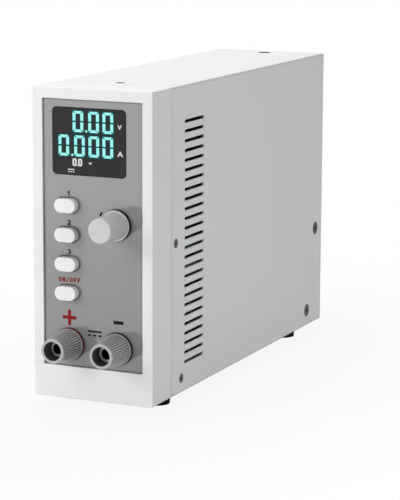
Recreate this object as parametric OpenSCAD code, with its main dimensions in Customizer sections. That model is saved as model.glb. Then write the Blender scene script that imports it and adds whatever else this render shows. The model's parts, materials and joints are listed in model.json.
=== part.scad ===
// Bench DC electronic load in an upright case: front panel with display, four buttons,
// knob and two binding posts, slotted sheet cover, rear fan, power switch and mains inlet.
// Millimetres. +X is right as seen from the front, +Y points to the rear, +Z is up.
// Heights in the section values are measured from the underside of the case,
// depths from the front face of the case.

/* [Case] */
// Case width over the side walls
case_w = 55; // [54:0.5:75]
// Case depth from front face to rear edge
case_d = 190; // [188:1:230]
// Case height without the feet
case_h = 130; // [129:0.5:150]
// Sheet thickness of cover, base plate and rear panel
sheet_t = 0.8; // [0.6:0.1:0.9]
// Outer bend radius of the case edges
edge_r = 1.1; // [1:0.1:2]
// Width of the lips folded in under the cover
lip_w = 4; // [3.5:0.1:4.8]
// Fit gap between sheet parts that slide together
fit_gap = 0.1; // [0.05:0.01:0.15]

/* [Front frame] */
// Depth of the moulded front frame
frame_d = 18; // [16:0.5:19]
// Rounding of the frame's front edges
front_edge_r = 0.5; // [0.3:0.1:0.9]
// Open seam between frame and cover
seam_gap = 0.25; // [0.1:0.05:0.4]
// Wall thickness of the front frame
frame_wall = 2; // [1.6:0.1:2.4]
// Border left and right of the panel opening
border_side = 4.7; // [4.5:0.1:6]
// Border above the panel opening
border_top = 4.6; // [4.2:0.1:5.5]
// Border below the panel opening
border_bottom = 13.8; // [11:0.1:15]
// Depth of the panel face below the frame face
panel_recess = 0.8; // [0.6:0.1:1.6]
// Thickness of the front panel
panel_t = 2; // [1.5:0.1:2.5]
// Overlap of the frame in front of the panel edge
rebate_w = 1.4; // [0.8:0.1:1.6]
// Width of the tabs that hold the panel from behind
tab_w = 8; // [5:0.5:12]
// Thickness of the frame's fixing ears
ear_t = 2; // [1.6:0.1:2.6]

/* [Display] */
// Width of the display window
window_w = 33.8; // [28:0.1:36]
// Height of the display window
window_h = 28; // [24:0.1:30]
// Corner radius of the display window
window_r = 2; // [1:0.1:3]
// Centre of the window left of the case centre line
window_x = -1.6; // [-2:0.1:2]
// Distance of the window from the top of the panel opening
window_drop = 3.3; // [2:0.1:4]
// Overhang of the display module round the window
module_margin = 1; // [0.8:0.1:1.5]

/* [Buttons] */
// Button width
button_w = 9.7; // [8:0.1:11]
// Button height
button_h = 5.9; // [5.5:0.1:7]
// Corner radius of a button
button_r = 2.85; // [1.5:0.05:2.9]
// Button reach in front of the panel
button_reach = 3.4; // [3:0.1:6]
// Edge rounding of a button face
button_edge = 0.35; // [0.25:0.05:0.8]
// Button column from the left side of the panel opening
button_in = 11.35; // [10.5:0.05:12]
// Shift of the column's middle above the middle between posts and window
control_lift = 4.7; // [3:0.1:6]
// Pitch of the button column
button_pitch = 12.2; // [11.5:0.1:12.4]
// Gap between a button and its hole
button_gap = 0.3; // [0.3:0.05:0.5]
// Width of the collar that keeps a button in
collar_w = 0.8; // [0.6:0.1:1.2]
// Travel of the buttons and of the knob
press_travel = 0.5; // [0.3:0.1:0.6]

/* [Knob] */
// Radius of the knob at its foot
knob_r = 5.7; // [5.3:0.05:7]
// Radius of the knob at its front face
knob_tip_r = 5.1; // [4.8:0.05:6.5]
// Radius of the knob's foot flange
knob_flange_r = 6.35; // [6.2:0.05:8]
// Thickness of the knob's foot flange
knob_flange_t = 0.8; // [0.6:0.1:2.4]
// Knob length over all
knob_len = 14.5; // [13:0.1:18]
// Gap between knob and panel
knob_gap = 1.5; // [1.3:0.1:2]
// Bevel round the knob's front face
knob_bevel = 0.35; // [0.2:0.05:0.6]
// Knob axis from the right side of the panel opening
knob_in = 11.8; // [10.5:0.1:13]
// Knob axis above the middle of the button column
knob_lift = 11.5; // [8:0.1:14]
// Radius of the dust ring behind the knob
seal_r = 6.35; // [6:0.05:8]
// Gap between the pressed knob and its dust ring
seal_gap = 0.4; // [0.3:0.05:0.5]
// Radius of the encoder shaft
shaft_r = 2; // [1.5:0.1:2.2]
// Radius of the encoder bush
bush_r = 3; // [2.8:0.1:3.2]
// Across-flats size of the encoder nut
nut_af = 8; // [7.5:0.1:8.2]
// Running clearance of shafts in their bores
shaft_fit = 0.05; // [0.03:0.01:0.08]

/* [Binding posts] */
// Distance between the two post axes
post_pitch = 22.2; // [19:0.1:24]
// Height of the post axes
post_z = 23.15; // [22:0.05:25]
// Radius of a cap over the ribs at its foot
cap_foot_r = 6.4; // [5.8:0.1:6.8]
// Radius of a cap at its mouth
cap_rim_r = 5.15; // [4.9:0.05:5.6]
// Length of a cap
cap_len = 14.6; // [12:0.1:16]
// Radius of a cap's smooth foot
cap_flange_r = 6.65; // [6.2:0.05:6.9]
// Thickness of a cap's foot round its washer
cap_flange_t = 1.1; // [0.9:0.1:1.6]
// Number of ribs round a cap
cap_ribs = 36; // [24:1:40]
// Radius of a rib at the foot of its cap
rib_foot_r = 0.38; // [0.3:0.02:0.55]
// Radius of a rib at the mouth of its cap
rib_rim_r = 0.3; // [0.24:0.02:0.45]
// Height of the ribs' axes above the cap's body between them
rib_lift = 0.15; // [0:0.05:0.2]
// Length of the cap's smooth foot below the ribs
rib_start = 1.2; // [0.3:0.1:1.4]
// Radius of a cap's open mouth
mouth_r = 3.95; // [3.8:0.05:4.4]
// Depth from a cap's mouth to the stud end
mouth_depth = 5.2; // [4.8:0.1:7.5]
// Radius of a post stud
stud_r = 3.3; // [3.1:0.05:3.5]
// Radius of the plug socket in a stud
socket_r = 2; // [1.9:0.05:2.1]
// Depth of the plug socket
socket_depth = 10.2; // [8:0.1:10.5]
// Bevel at the mouth of the plug socket
socket_edge = 0.25; // [0.2:0.05:0.7]
// Radius of the coloured ring under a cap
ring_r = 6.85; // [6.7:0.05:8]
// Thickness of the coloured ring
ring_t = 0.5; // [0.4:0.1:1.2]
// Gap between ring and clamp washer with the cap screwed down
cap_gap = 0.3; // [0.25:0.05:0.4]
// Thread radius behind the panel
tail_r = 2.5; // [2.2:0.1:2.8]
// Radius of the insulating collar through the panel
insul_r = 4.6; // [4.4:0.1:5]
// Thickness of the insulator behind the panel
insul_t = 2; // [1.5:0.1:3]
// Thickness of a post nut
nut_t = 3.5; // [3:0.1:4]

/* [Cover] */
// Distance of the topmost vent slot from the top of the case, at least
slot_top_in = 14; // [12:0.1:20]
// Pitch of the vent slots
slot_pitch = 4.085; // [3.8:0.005:4.2]
// Height of a vent slot
slot_h = 1.4; // [1:0.1:1.8]
// Length of a vent slot
slot_len = 19.3; // [15:0.1:25]
// Depth at which the slots start
slot_start = 30.8; // [30:0.1:36]
// Height of the lowest slot
slot_z = 12.75; // [10:0.05:14]
// Head radius of the small front screws
small_head_r = 1.95; // [1.8:0.05:2.2]
// Shank radius of the small front screws
small_shank_r = 1; // [0.8:0.05:1.2]
// Length of the small front screws
small_len = 5; // [4.5:0.1:6]
// Head radius of the large rear screws
large_head_r = 3; // [2.6:0.05:3.2]
// Shank radius of the large rear screws
large_shank_r = 1.5; // [1.3:0.05:1.7]
// Length of the large rear screws
large_len = 5.6; // [5:0.1:6]
// Depth of the front side screws in the frame ears
side_front_y = 22.2; // [21.5:0.1:23]
// Height of the front side screws
side_front_z = 65.1; // [60:0.1:70]
// Depth of the front screws in the base plate
low_front_y = 27.8; // [26:0.1:28]
// Height of the front screws in the base plate
low_front_z = 6.5; // [6:0.1:7.5]
// Distance of the rear screws in the base plate from the rear edge
low_rear_in = 17.9; // [16:0.1:19]
// Height of the rear screws in the base plate
low_rear_z = 7.6; // [7:0.1:8]
// Distance of the rear side and top screws from the rear edge
rear_screw_in = 8.1; // [7:0.1:9]
// Height of the rear side screws
side_rear_z = 46.3; // [44:0.1:60]
// Depth of the front screw in the top
top_front_y = 26.5; // [23:0.1:28]

/* [Feet] */
// Height of the case above the table
foot_h = 4.9; // [3:0.1:6]
// Foot radius at the case
foot_r = 6; // [5:0.1:6.2]
// Foot radius at the table
foot_tip_r = 5.4; // [4.6:0.1:5.6]
// Gap between a foot and the cover's lip
foot_gap = 0.5; // [0.4:0.1:2]
// Depth of the front foot centres
foot_front_y = 26.2; // [24.5:0.1:27]
// Distance of the rear foot centres from the rear edge
foot_rear_in = 22.5; // [21:0.1:26]

/* [Inside] */
// Space between front panel and display board
board_gap = 8; // [7.5:0.1:9]
// Thickness of the circuit boards
board_t = 1.6; // [1.2:0.1:2]
// Distance of the display board's lower edge above the post rings
board_lift = 3.4; // [3:0.1:5]
// Gap between the display board and the frame's side walls
board_side_gap = 2.3; // [1.8:0.1:2.6]
// Height of the heat sink fins
fin_h = 40; // [36:0.5:42]
// Thickness of a heat sink fin
fin_t = 1.6; // [1.2:0.1:2]
// Number of heat sink fins
fin_count = 9; // [7:1:11]
// Thickness of the heat sink base
sink_t = 6; // [5:0.1:8]
// Gap between heat sink and base plate walls
sink_gap = 2.4; // [2:0.1:4]
// Heat sink behind the main board's front edge
sink_set = 45; // [42:0.5:48]
// Height of the standoffs between heat sink and main board
main_gap = 12; // [10:0.1:14]
// Gap between the main board and the case walls
main_side_gap = 3.4; // [2.8:0.1:4.5]
// Depth of the main board's front edge
main_front_y = 27; // [26.5:0.1:28]
// Distance of the main board's rear edge from the rear of the case
main_rear_in = 34; // [33:0.1:36]
// Width of a power transistor
chip_w = 16; // [14:0.1:17]
// Length of a power transistor
chip_len = 19; // [17:0.1:20]
// Thickness of a power transistor
chip_t = 5; // [4:0.1:6]
// Gap between the two transistor columns
chip_gap = 3.2; // [2.6:0.1:5]
// Gap between a transistor and the pillar beside it
chip_pillar_gap = 1.2; // [1:0.1:3]
// Radius of an upright capacitor
can_r = 6.2; // [5:0.1:6.6]
// Height of an upright capacitor
can_h = 24; // [18:0.5:28]
// Gap between the outer capacitors and the board's side
can_edge_gap = 1.8; // [1.2:0.1:2.6]
// Width of the current shunt
shunt_w = 24; // [20:0.5:28]
// Height of the current shunt
shunt_h = 12; // [9:0.5:15]
// Thickness of the shunt's strip
shunt_t = 1.6; // [1.2:0.1:2]
// Width of the shunt's strip
shunt_d = 5; // [4:0.1:7]
// Width of the transformer core
core_w = 34; // [28:0.5:36]
// Depth of the transformer core
core_d = 18; // [15:0.5:20]
// Height of the transformer core
core_h = 28; // [24:0.5:32]
// Reach of the transformer coil beyond its core, front and rear
coil_reach = 4.5; // [3:0.1:6]
// Distance of the transformer from the main board's rear edge
core_rear_in = 32; // [28:0.5:36]
// Width of the flat cable
ribbon_w = 14; // [10:0.5:16]
// Thickness of the flat cable
ribbon_t = 0.8; // [0.6:0.1:1]
// Radius of the input leads
lead_r = 2; // [1.6:0.1:2.2]
// Radius of the mains leads
mains_r = 1.1; // [0.9:0.1:1.2]

/* [Rear] */
// Outer size of the square fan
fan_size = 40; // [38:0.5:40.5]
// Fan thickness
fan_t = 20; // [15:0.5:20]
// Pitch of the fan screws
fan_pitch = 32; // [31:0.1:32.5]
// Radius of the fan duct
fan_bore_r = 18.6; // [17.5:0.1:19]
// Gap between blade tips and duct
blade_gap = 0.6; // [0.5:0.1:1]
// Radius of the fan hub
hub_r = 10.5; // [9:0.1:11.5]
// Number of fan blades
blade_count = 7; // [5:1:7]
// Height of the fan axis
fan_z = 29; // [28:0.1:29.5]
// Wire radius of the fan guard
wire_r = 0.7; // [0.5:0.05:0.8]
// Power switch above the middle between fan and inlet
switch_lift = 3; // [1:0.1:4]
// Width of the power switch bezel
switch_w = 21; // [20:0.1:23]
// Height of the power switch bezel
switch_h = 15; // [14:0.1:16]
// Radius of the rocker about its pivot
rocker_r = 8.2; // [7.6:0.1:8.4]
// Tilt of the rocker in the on position
rocker_tilt = 9; // [6:0.5:10]
// Mains inlet below the top of the case
inlet_drop = 29; // [27:0.1:32]
// Width of the inlet flange
inlet_w = 31; // [30.5:0.1:33]
// Height of the inlet flange
inlet_h = 24; // [23.5:0.1:26]
// Reach of the inlet behind the rear panel
inlet_reach = 4; // [3.8:0.1:5]

/* [Hidden] */
// Places derived from the sizes above
panel_z0 = foot_h + border_bottom;
panel_z1 = foot_h + case_h - border_top;
open_w = case_w - 2 * border_side;
knob_reach = knob_gap + knob_len - panel_recess;
post_reach = ring_t + cap_gap + cap_len - panel_recess;
front_reach = max(knob_reach, post_reach);
front_y = front_reach - (front_reach + case_d + inlet_reach) / 2;
rear_y = front_y + case_d;
top_z = foot_h + case_h;
seam_y = front_y + frame_d;
panel_y = front_y + panel_recess;
panel_back = panel_y + panel_t;
inner_x = case_w / 2 - sheet_t - fit_gap;
inner_top = top_z - sheet_t - fit_gap;
cover_y = seam_y + seam_gap;
foot_x = case_w / 2 - lip_w - foot_r - foot_gap;
slot_count = floor((case_h - slot_top_in - slot_z) / slot_pitch) + 1;
base_top = foot_h + 2 * sheet_t;
window_z = panel_z1 - window_drop - window_h / 2;
board_y = panel_back + board_gap;
board_w = case_w - 2 * frame_wall - 2 * board_side_gap;
board_z = post_z + ring_r + board_lift;
board_top = window_z + window_h / 2 + module_margin + 0.8;
// Controls: the button column and the knob
button_x = -open_w / 2 + button_in;
column_z = (post_z + window_z - window_h / 2 - foot_h) / 2 + control_lift;
button_z = column_z - 1.5 * button_pitch;
corner_r = min(button_r, button_h / 2 - 0.05);
knob_x = open_w / 2 - knob_in;
knob_z = column_z + knob_lift;
nut_corner_r = nut_af / 2 / cos(30);
seal_t = knob_gap - press_travel - seal_gap;
ring_y = panel_y - ring_t;
cap_y = ring_y - cap_gap;
rim_y = cap_y - cap_len;
stud_y = rim_y + mouth_depth;
stud_bore_r = stud_r + shaft_fit;
washer_t = cap_flange_t - 0.3;
washer_r = stud_r + 1.3;
tail_len = insul_t + nut_t + 6;
sink_y1 = rear_y - sheet_t - fan_t - 5;
sink_w = 2 * (inner_x - sheet_t - sink_gap);
sink_top = base_top + fin_h + sink_t;
main_z = sink_top + main_gap;
main_top = main_z + board_t;
main_y0 = front_y + main_front_y;
main_y1 = rear_y - main_rear_in;
main_w = 2 * (inner_x - main_side_gap);
sink_y0 = main_y0 + sink_set;
fan_y = rear_y - sheet_t;
inlet_z = case_h - inlet_drop;
switch_z = (fan_z + fan_size / 2 + inlet_z - inlet_h / 2) / 2 + switch_lift;
switch_top = 4.3;
pin_places = [[-7, -2], [0, 2], [7, -2]];
// Tabs of the inlet and of the power switch
inlet_tab_y = rear_y - 22;
switch_tab_y = rear_y - 21;
switch_tab_xs = [-5, 5];
tab_root_y = rear_y - 13;
post_xs = [-post_pitch / 2, post_pitch / 2];
foot_ys = [front_y + foot_front_y, rear_y - foot_rear_in];
side_xs = [-1, 1];
// Standoffs of the display board
stand_r = 2.2;
stand_x = board_w / 2 - stand_r - 0.8;
can_xs = [-main_w / 2 + can_r + can_edge_gap, 0, main_w / 2 - can_r - can_edge_gap];
stand_zs = [foot_h + board_z + 3, window_z - window_h / 2 - module_margin - stand_r - 0.6];
// Pillars of the main board
pillar_r = 3;
pillar_x = main_w / 2 - 4;
pillar_ys = [sink_y0 + 4, main_y1 - 5];
front_pillar_y = main_y0 + 6;
// Rows of power transistors, with their legs in front of them
leg_len = 2.5;
chip_ys = [
  pillar_ys[0] + pillar_r + chip_pillar_gap + leg_len + chip_len / 2,
  pillar_ys[1] - pillar_r - chip_pillar_gap - chip_len / 2
];
// Terminal blocks of the input leads
block_y = main_y0 + 3;
block_z = main_top + 4.5;
lead_bend = 7;
// Connector of the flat cable on the main board
plug_y = main_y0 + 16;
plug_d = 6;
plug_h = 7;
socket_t = 5;
socket_h = 6;
ribbon_lift = 22;
$fn = 48;

// Rectangle with round corners, centred
module round_rect(w, h, r) {
  square([w - 2 * r, h], center = true);
  square([w, h - 2 * r], center = true);
  for (x = side_xs, y = side_xs)
    translate([x * (w / 2 - r), y * (h / 2 - r)]) circle(r);
}

// Extrudes an outline drawn in X and Z from depth y towards the front
module forward(y, len) {
  translate([0, y, 0]) rotate([90, 0, 0]) linear_extrude(len) children();
}

// Cylinder along Y between two depths
module rod(x, z, y0, y1, r) {
  translate([x, y1, z]) rotate([90, 0, 0]) cylinder(r = r, h = y1 - y0);
}

// Cone along Y, radius r0 at depth y0 and r1 at depth y1
module taper(x, z, y0, y1, r0, r1) {
  translate([x, y1, z]) rotate([90, 0, 0]) cylinder(r1 = r1, r2 = r0, h = y1 - y0);
}

// Revolves an outline of radius and distance in front of depth y about a Y axis
module turned(x, z, y) {
  translate([x, y, z]) rotate([90, 0, 0]) rotate_extrude() children();
}

// Quarter bend of a round lead in the plane of Y and Z, about a centre line
module bend(x, y, z, bend_r, r, from) {
  translate([x, y, z]) rotate([90, 0, 90]) rotate([0, 0, from])
    rotate_extrude(angle = 90) translate([bend_r, 0]) circle(r);
}

// Countersunk screw lying along -X with its head face at x = 0
module flush_screw(head_r, shank_r, len) {
  difference() {
    union() {
      rotate([0, -90, 0]) cylinder(r1 = head_r, r2 = shank_r, h = head_r - shank_r);
      rotate([0, -90, 0]) cylinder(r = shank_r, h = len);
    }
    for (turn = [0, 90])
      rotate([turn, 0, 0]) cube([head_r * 0.8, head_r * 1.1, head_r * 0.26], center = true);
  }
}

// Countersunk clearance hole for the same screw
module flush_hole(head_r, shank_r, len) {
  rotate([0, -90, 0]) cylinder(r1 = head_r + fit_gap, r2 = shank_r + fit_gap, h = head_r - shank_r);
  rotate([0, -90, 0]) cylinder(r = shank_r + fit_gap, h = len + 1);
  rotate([0, 90, 0]) cylinder(r = head_r + fit_gap, h = 1);
}

// Places of the small screws: frame ears, base plate front, top front
module at_small_screws() {
  for (s = side_xs) mirror([s < 0 ? 1 : 0, 0, 0]) {
    translate([case_w / 2, front_y + side_front_y, foot_h + side_front_z]) children();
    translate([case_w / 2, front_y + low_front_y, foot_h + low_front_z]) children();
  }
  translate([0, front_y + top_front_y, top_z]) rotate([0, -90, 0]) children();
}

// Places of the large screws: base plate rear, rear panel sides, top rear
module at_large_screws() {
  for (s = side_xs) mirror([s < 0 ? 1 : 0, 0, 0]) {
    translate([case_w / 2, rear_y - low_rear_in, foot_h + low_rear_z]) children();
    translate([case_w / 2, rear_y - rear_screw_in, foot_h + side_rear_z]) children();
  }
  translate([0, rear_y - rear_screw_in, top_z]) rotate([0, -90, 0]) children();
}

// Outer block of the front frame with round front edges
module frame_block() {
  hull() {
    for (x = side_xs, z = [foot_h + edge_r, top_z - edge_r])
      translate([x * (case_w / 2 - edge_r), seam_y, z]) rotate([90, 0, 0]) {
        cylinder(r = edge_r, h = frame_d - front_edge_r, $fn = 24);
        translate([0, 0, frame_d - front_edge_r]) rotate_extrude($fn = 24)
          translate([edge_r - front_edge_r, 0]) circle(front_edge_r, $fn = 16);
      }
  }
}

// Ears on the frame that reach under the cover and over the base plate
module frame_ears() {
  ear_y0 = seam_y - 6;
  for (s = side_xs) mirror([s < 0 ? 1 : 0, 0, 0])
    translate([inner_x - ear_t, ear_y0, foot_h + side_front_z - 8])
      cube([ear_t, side_front_y + 5 - frame_d + 6, 16]);
  translate([-9, ear_y0, inner_top - ear_t]) cube([18, top_front_y + 5 - frame_d + 6, ear_t]);
  for (x = side_xs) {
    translate([x * foot_x - 5, ear_y0, base_top]) cube([10, foot_front_y + 3.5 - frame_d + 6, ear_t]);
    translate([x * foot_x - 5, ear_y0, foot_h + frame_wall / 2])
      cube([10, 6, base_top + ear_t - foot_h - frame_wall / 2]);
  }
}

// Tabs that hold the panel from behind
module panel_tabs() {
  reach = border_side - frame_wall;
  for (s = side_xs, z = [panel_z0 + 20, panel_z1 - 20]) mirror([s < 0 ? 1 : 0, 0, 0])
    translate([case_w / 2 - frame_wall - reach + 0.4, panel_back, z - tab_w / 2])
      cube([reach, 1.5, tab_w]);
}

// White moulded frame round the front panel
module front_frame() color([0.93, 0.93, 0.92]) {
  difference() {
    union() {
      difference() {
        frame_block();
        translate([-case_w / 2 + frame_wall, panel_back, foot_h + frame_wall])
          cube([case_w - 2 * frame_wall, frame_d, case_h - 2 * frame_wall]);
      }
      frame_ears();
      panel_tabs();
    }
    translate([0, 0, (panel_z0 + panel_z1) / 2]) {
      forward(panel_back, frame_d) square([open_w, panel_z1 - panel_z0], center = true);
      forward(panel_back, panel_t)
        square([open_w + 2 * rebate_w, panel_z1 - panel_z0 + 2 * rebate_w], center = true);
    }
    at_small_screws() flush_hole(small_head_r, small_shank_r, small_len);
    for (x = side_xs) translate([x * foot_x, foot_ys[0], base_top - 1])
      cylinder(r = 1.5 + fit_gap, h = ear_t + 2);
  }
}

// Grey plate behind the frame opening
module front_panel() color([0.62, 0.62, 0.62]) {
  edge = rebate_w - fit_gap;
  difference() {
    translate([0, 0, (panel_z0 + panel_z1) / 2]) forward(panel_back, panel_t)
      square([open_w + 2 * edge, panel_z1 - panel_z0 + 2 * edge], center = true);
    translate([window_x, 0, window_z]) forward(panel_back + 1, panel_t + 2)
      round_rect(window_w, window_h, window_r);
    for (i = [0 : 3])
      translate([button_x, 0, foot_h + button_z + i * button_pitch]) forward(panel_back + 1, panel_t + 2)
        round_rect(button_w + 2 * button_gap, button_h + 2 * button_gap, corner_r + button_gap);
    rod(knob_x, foot_h + knob_z, panel_y - 1, panel_back + 1, bush_r + fit_gap);
    for (x = post_xs) rod(x, foot_h + post_z, panel_y - 1, panel_back + 1, insul_r + fit_gap);
  }
}

// Dark pane flush with the panel face
module display_window() color([0.12, 0.12, 0.13]) {
  translate([window_x, 0, window_z]) forward(panel_back, panel_t)
    round_rect(window_w - 2 * fit_gap, window_h - 2 * fit_gap, window_r - fit_gap);
}

// Display with its glass and housing between pane and board
module display_module() color([0.2, 0.22, 0.24]) {
  w = window_w + 2 * module_margin;
  h = window_h + 2 * module_margin;
  translate([window_x, 0, window_z]) {
    forward(panel_back + 2, 2) square([w, h], center = true);
    forward(board_y, board_gap - 2) square([w - 2, h - 2], center = true);
  }
}

// Outline of the cover: a closed wrap with lips under the bottom
module cover_outline() {
  translate([0, (foot_h + top_z) / 2]) difference() {
    round_rect(case_w, case_h, edge_r);
    round_rect(case_w - 2 * sheet_t, case_h - 2 * sheet_t, edge_r - sheet_t);
    translate([0, -case_h / 2]) square([case_w - 2 * lip_w, 4 * sheet_t], center = true);
  }
}

// One column of vent slots, drawn in depth and height
module slot_column() {
  mid_y = front_y + slot_start + slot_len / 2;
  for (i = [0 : slot_count - 1]) translate([mid_y, foot_h + slot_z + i * slot_pitch])
    round_rect(slot_len, slot_h, slot_h * 0.45);
}

// White sheet cover round top, sides and bottom edges
module cover() color([0.92, 0.92, 0.91]) {
  difference() {
    forward(rear_y, rear_y - cover_y) cover_outline();
    rotate([90, 0, 90]) translate([0, 0, -case_w]) linear_extrude(2 * case_w) slot_column();
    at_small_screws() flush_hole(small_head_r, small_shank_r, small_len);
    at_large_screws() flush_hole(large_head_r, large_shank_r, large_len);
  }
}

// Outline of the base plate: a tray with upright edges
module tray_outline() {
  wall_h = 11;
  w = 2 * inner_x;
  translate([0, foot_h + sheet_t]) intersection() {
    translate([0, case_h / 2]) difference() {
      round_rect(w, case_h, edge_r);
      round_rect(w - 2 * sheet_t, case_h - 2 * sheet_t, edge_r - sheet_t);
    }
    translate([-w, 0]) square([2 * w, wall_h]);
  }
}

// Sheet tray that carries the inside
module base_plate() color([0.74, 0.75, 0.76]) {
  difference() {
    forward(rear_y - sheet_t, case_d - frame_d - sheet_t) tray_outline();
    for (x = side_xs, y = foot_ys)
      translate([x * foot_x, y, 0]) cylinder(r = 1.5 + fit_gap, h = 4 * foot_h);
    for (x = side_xs) translate([x * foot_x, rear_y - 7, 0]) cylinder(r = 1.5 + fit_gap, h = 4 * foot_h);
    at_small_screws() flush_hole(small_head_r, small_shank_r, small_len);
    at_large_screws() flush_hole(large_head_r, large_shank_r, large_len);
  }
}

// Cut-out of the mains inlet, with its two sloping corners
module inlet_outline(grow) {
  w = 12.1 + grow;
  h = 8.3 + grow;
  cut = 4.6;
  polygon([[-w, -h], [w, -h], [w, h - cut], [w - cut, h], [-w + cut, h], [-w, h - cut]]);
}

// Sheet rear panel with fixing flanges
module rear_panel() color([0.74, 0.75, 0.76]) {
  w = 2 * inner_x;
  h = inner_top - base_top - fit_gap;
  flange = 13;
  difference() {
    union() {
      translate([0, 0, base_top + h / 2]) forward(rear_y, sheet_t) square([w, h], center = true);
      for (s = side_xs) mirror([s < 0 ? 1 : 0, 0, 0])
        translate([inner_x - sheet_t, rear_y - flange, foot_h + side_rear_z - 9])
          cube([sheet_t, flange, 18]);
      translate([-10, rear_y - flange, inner_top - sheet_t - fit_gap]) cube([20, flange, sheet_t]);
      translate([-inner_x + 4, rear_y - flange, base_top]) cube([w - 8, flange, sheet_t]);
    }
    rod(0, foot_h + fan_z, rear_y - 2, rear_y + 1, fan_bore_r);
    for (x = side_xs, z = side_xs)
      rod(x * fan_pitch / 2, foot_h + fan_z + z * fan_pitch / 2, rear_y - 2, rear_y + 1, 1.5 + fit_gap);
    translate([0, 0, foot_h + switch_z]) forward(rear_y + 1, 3)
      square([switch_w - 2 + 2 * fit_gap, switch_h - 2 + 2 * fit_gap], center = true);
    translate([0, 0, foot_h + inlet_z]) forward(rear_y + 1, 3) inlet_outline(1.6 + fit_gap);
    for (x = side_xs) translate([x * foot_x, rear_y - 7, base_top - 1]) cylinder(r = 1.5 + fit_gap, h = 4);
    at_large_screws() flush_hole(large_head_r, large_shank_r, large_len);
  }
}

// Screws between base plate and rear panel, heads below the base
module rear_panel_screws() color([0.6, 0.6, 0.6]) {
  for (x = side_xs) translate([x * foot_x, rear_y - 7, foot_h + sheet_t]) {
    cylinder(r = 1.5, h = 2 * sheet_t + 2);
    difference() {
      translate([0, 0, -1.6]) cylinder(r = 2.6, h = 1.6);
      for (turn = [0, 90]) rotate([0, 0, turn]) translate([0, 0, -1.6]) cube([3, 0.7, 1.6], center = true);
    }
  }
}

// Rubber feet with sunk screw seats
module feet() color([0.08, 0.08, 0.08]) {
  for (x = side_xs, y = foot_ys) translate([x * foot_x, y, 0]) difference() {
    cylinder(r1 = foot_tip_r, r2 = foot_r, h = foot_h + sheet_t);
    translate([0, 0, -1]) cylinder(r = 3, h = foot_h - 0.4);
    cylinder(r = 1.5 + fit_gap, h = 3 * foot_h);
  }
}

// Screws of the feet
module foot_screws() color([0.6, 0.6, 0.6]) {
  seat = foot_h - 1.4;
  for (x = side_xs, y = foot_ys) translate([x * foot_x, y, seat]) {
    cylinder(r = 1.5, h = base_top + ear_t + 1 - seat);
    difference() {
      translate([0, 0, -1.6]) cylinder(r = 2.6, h = 1.6);
      for (turn = [0, 90]) rotate([0, 0, turn]) translate([0, 0, -1.6]) cube([3, 0.7, 1.6], center = true);
    }
  }
}

// Small countersunk cover screws
module cover_screws_small() color([0.4, 0.4, 0.41]) {
  at_small_screws() flush_screw(small_head_r, small_shank_r, small_len);
}

// Large countersunk cover screws
module cover_screws_large() color([0.4, 0.4, 0.41]) {
  at_large_screws() flush_screw(large_head_r, large_shank_r, large_len);
}

// Board behind the panel for display, switches and encoder
module display_board() color([0.1, 0.3, 0.16]) {
  z0 = foot_h + board_z;
  difference() {
    translate([0, 0, (z0 + board_top) / 2]) forward(board_y + board_t, board_t)
      square([board_w, board_top - z0], center = true);
    for (x = side_xs, z = stand_zs) rod(x * stand_x, z, board_y - 1, board_y + board_t + 1, 1.2 + fit_gap);
  }
}

// Spacers between panel and display board
module board_standoffs() color([0.78, 0.66, 0.35]) {
  for (x = side_xs, z = stand_zs) difference() {
    rod(x * stand_x, z, panel_back, board_y, stand_r);
    rod(x * stand_x, z, board_y - 5, board_y + 1, 1.2);
  }
}

// Screws through the display board into its spacers
module board_screws() color([0.6, 0.6, 0.6]) {
  back = board_y + board_t;
  for (x = side_xs, z = stand_zs) {
    rod(x * stand_x, z, board_y - 4, back + 1, 1.2);
    difference() {
      rod(x * stand_x, z, back, back + 1.5, 2.2);
      for (turn = [0, 90]) translate([x * stand_x, back + 1.5, z]) rotate([0, turn, 0])
        cube([2.6, 1.4, 0.6], center = true);
    }
  }
}

// Push button with its collar and stem
module button(index) color([0.94, 0.94, 0.93]) {
  face_y = panel_y - button_reach;
  collar_y = panel_back + 0.3;
  reach = button_gap + collar_w;
  translate([button_x, 0, foot_h + button_z + index * button_pitch]) {
    forward(collar_y, collar_y - face_y - button_edge) round_rect(button_w, button_h, corner_r);
    hull() {
      forward(face_y + button_edge + 0.01, 0.01) round_rect(button_w, button_h, corner_r, $fn = 32);
      forward(face_y + button_edge * 0.4, 0.01)
        round_rect(button_w - button_edge / 2, button_h - button_edge / 2, corner_r - button_edge / 4);
      forward(face_y + 0.01, 0.01)
        round_rect(button_w - 2 * button_edge, button_h - 2 * button_edge, corner_r - button_edge);
    }
    forward(collar_y + 1, 1)
      round_rect(button_w + 2 * reach, button_h + 2 * reach, corner_r + collar_w);
    rod(0, 0, collar_y, board_y - switch_top + 1.2, 1.6);
  }
}

module button_1() button(3);
module button_2() button(2);
module button_3() button(1);
module button_4() button(0);

// Square push switches on the display board
module push_switches() color([0.15, 0.15, 0.15]) {
  for (i = [0 : 3]) translate([button_x, 0, foot_h + button_z + i * button_pitch]) difference() {
    forward(board_y, switch_top) square(6.2, center = true);
    rod(0, 0, board_y - switch_top - 1, board_y - switch_top + 1.2 + press_travel + 0.4, 1.6 + 0.3);
  }
}

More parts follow.
